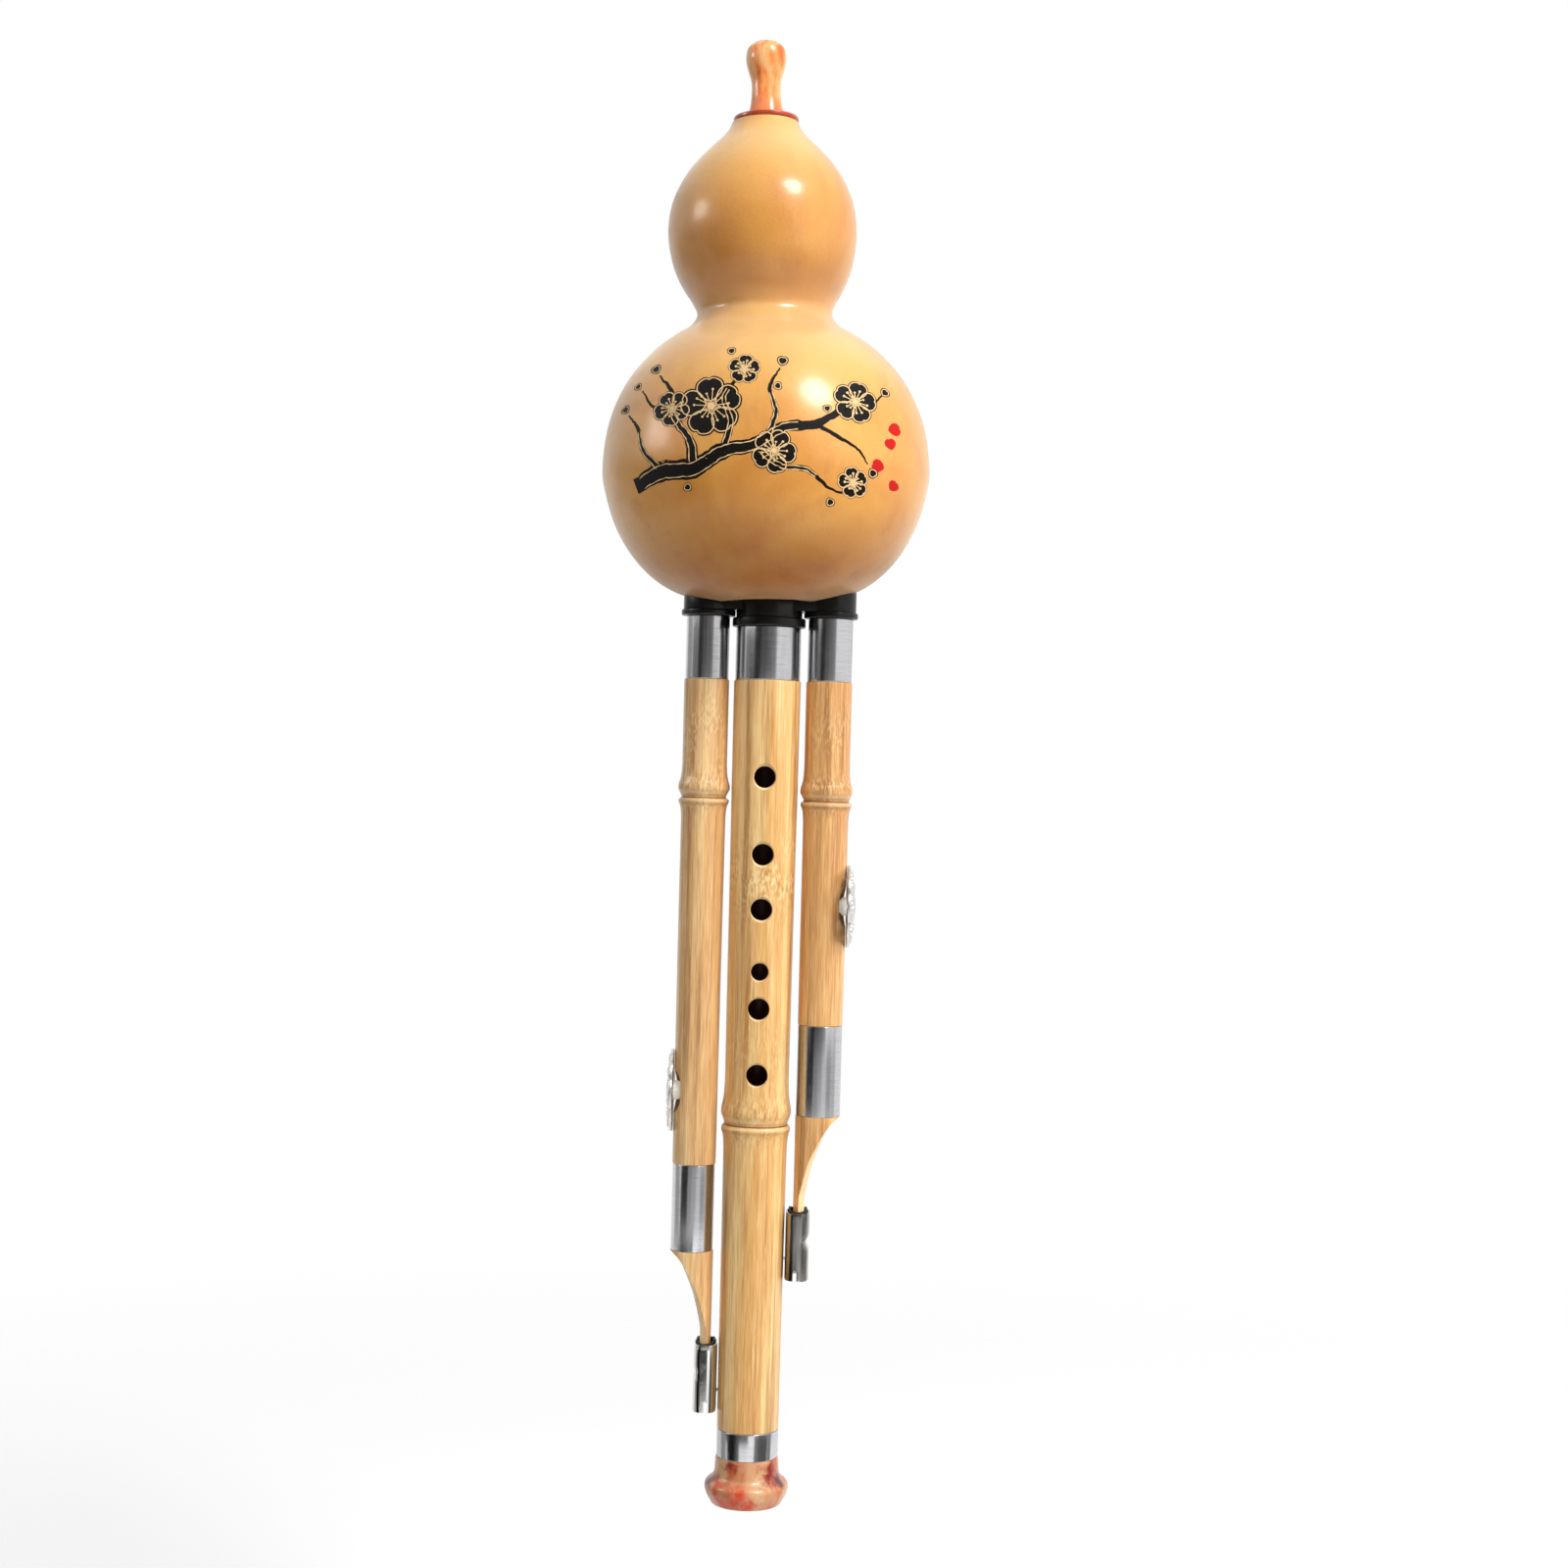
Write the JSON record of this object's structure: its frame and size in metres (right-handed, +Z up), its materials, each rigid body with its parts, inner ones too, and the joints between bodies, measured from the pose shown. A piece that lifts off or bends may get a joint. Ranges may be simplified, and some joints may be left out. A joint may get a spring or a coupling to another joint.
{
  "type": "gourd flute",
  "caption": "Free-reed gourd flute with a waisted gourd wind chamber, a turned mouthpiece, a bamboo finger-hole pipe with a flared foot, and bamboo drone pipes with plug stoppers.",
  "frame": {"origin": "on the middle pipe's axis, level with the gourd's waist, inside the gourd", "axes": "+Z up along the pipes towards the mouthpiece, +X to the right as seen from the front, -Y towards the viewer, which is the side of the front finger holes"},
  "size_m": [0.0983, 0.0984, 0.4369],
  "materials": {
    "gourd": "lacquered dried gourd, honey yellow",
    "bamboo": "clear-lacquered bamboo, straw yellow",
    "resin": "marbled orange and cream resin, polished",
    "black": "black moulded plastic, semi-gloss",
    "steel": "polished steel sheet",
    "silver": "cast white metal, aged",
    "brass": "rolled brass reed plate",
    "cork": "agglomerated cork",
    "ivory": "cream moulded plastic",
    "cream": "cream silicone rubber",
    "rubber": "black rubber"
  },
  "bodies": {
    "wind_chamber": {"gourd": "gourd", "mouthpiece": "resin", "mouthpiece_cork": "cork", "pipe_base": "black", "main_collar": "black", "left_collar": "black", "right_collar": "black"},
    "main_pipe_body": {"main_pipe": "bamboo", "main_sleeve": "steel", "main_tenon": "ivory", "main_seal": "rubber", "main_reed": "brass", "main_reed_cap": "ivory", "foot_ferrule": "steel", "foot_bell": "resin", "left_clip": "steel", "left_clip_lining": "rubber", "left_clip_pin": "steel", "right_clip": "steel", "right_clip_lining": "rubber", "right_clip_pin": "steel"},
    "left_pipe_body": {"left_pipe": "bamboo", "left_sleeve": "steel", "left_tenon": "ivory", "left_seal": "rubber", "left_reed": "brass", "left_reed_cap": "ivory", "left_ferrule": "steel", "left_end_plug": "cork"},
    "right_pipe_body": {"right_pipe": "bamboo", "right_sleeve": "steel", "right_tenon": "ivory", "right_seal": "rubber", "right_reed": "brass", "right_reed_cap": "ivory", "right_ferrule": "steel", "right_end_plug": "cork"},
    "left_stopper": {"left_stopper_plate": "silver", "left_stopper_washer": "rubber", "left_stopper_pad": "cream"},
    "right_stopper": {"right_stopper_plate": "silver", "right_stopper_washer": "rubber", "right_stopper_pad": "cream"}
  },
  "joints": [
    {"name": "main_pipe_pull", "type": "slide", "parent": "wind_chamber", "child": "main_pipe_body", "axis": [0, 0, -1], "range_m": [0, 0.06]},
    {"name": "left_pipe_pull", "type": "slide", "parent": "wind_chamber", "child": "left_pipe_body", "axis": [0, 0, -1], "range_m": [0, 0.004]},
    {"name": "right_pipe_pull", "type": "slide", "parent": "wind_chamber", "child": "right_pipe_body", "axis": [0, 0, -1], "range_m": [0, 0.004]},
    {"name": "left_stopper_pull", "type": "slide", "parent": "left_pipe_body", "child": "left_stopper", "axis": [-1, 0, 0], "range_m": [0, 0.01]},
    {"name": "right_stopper_pull", "type": "slide", "parent": "right_pipe_body", "child": "right_stopper", "axis": [1, 0, 0], "range_m": [0, 0.01]}
  ]
}
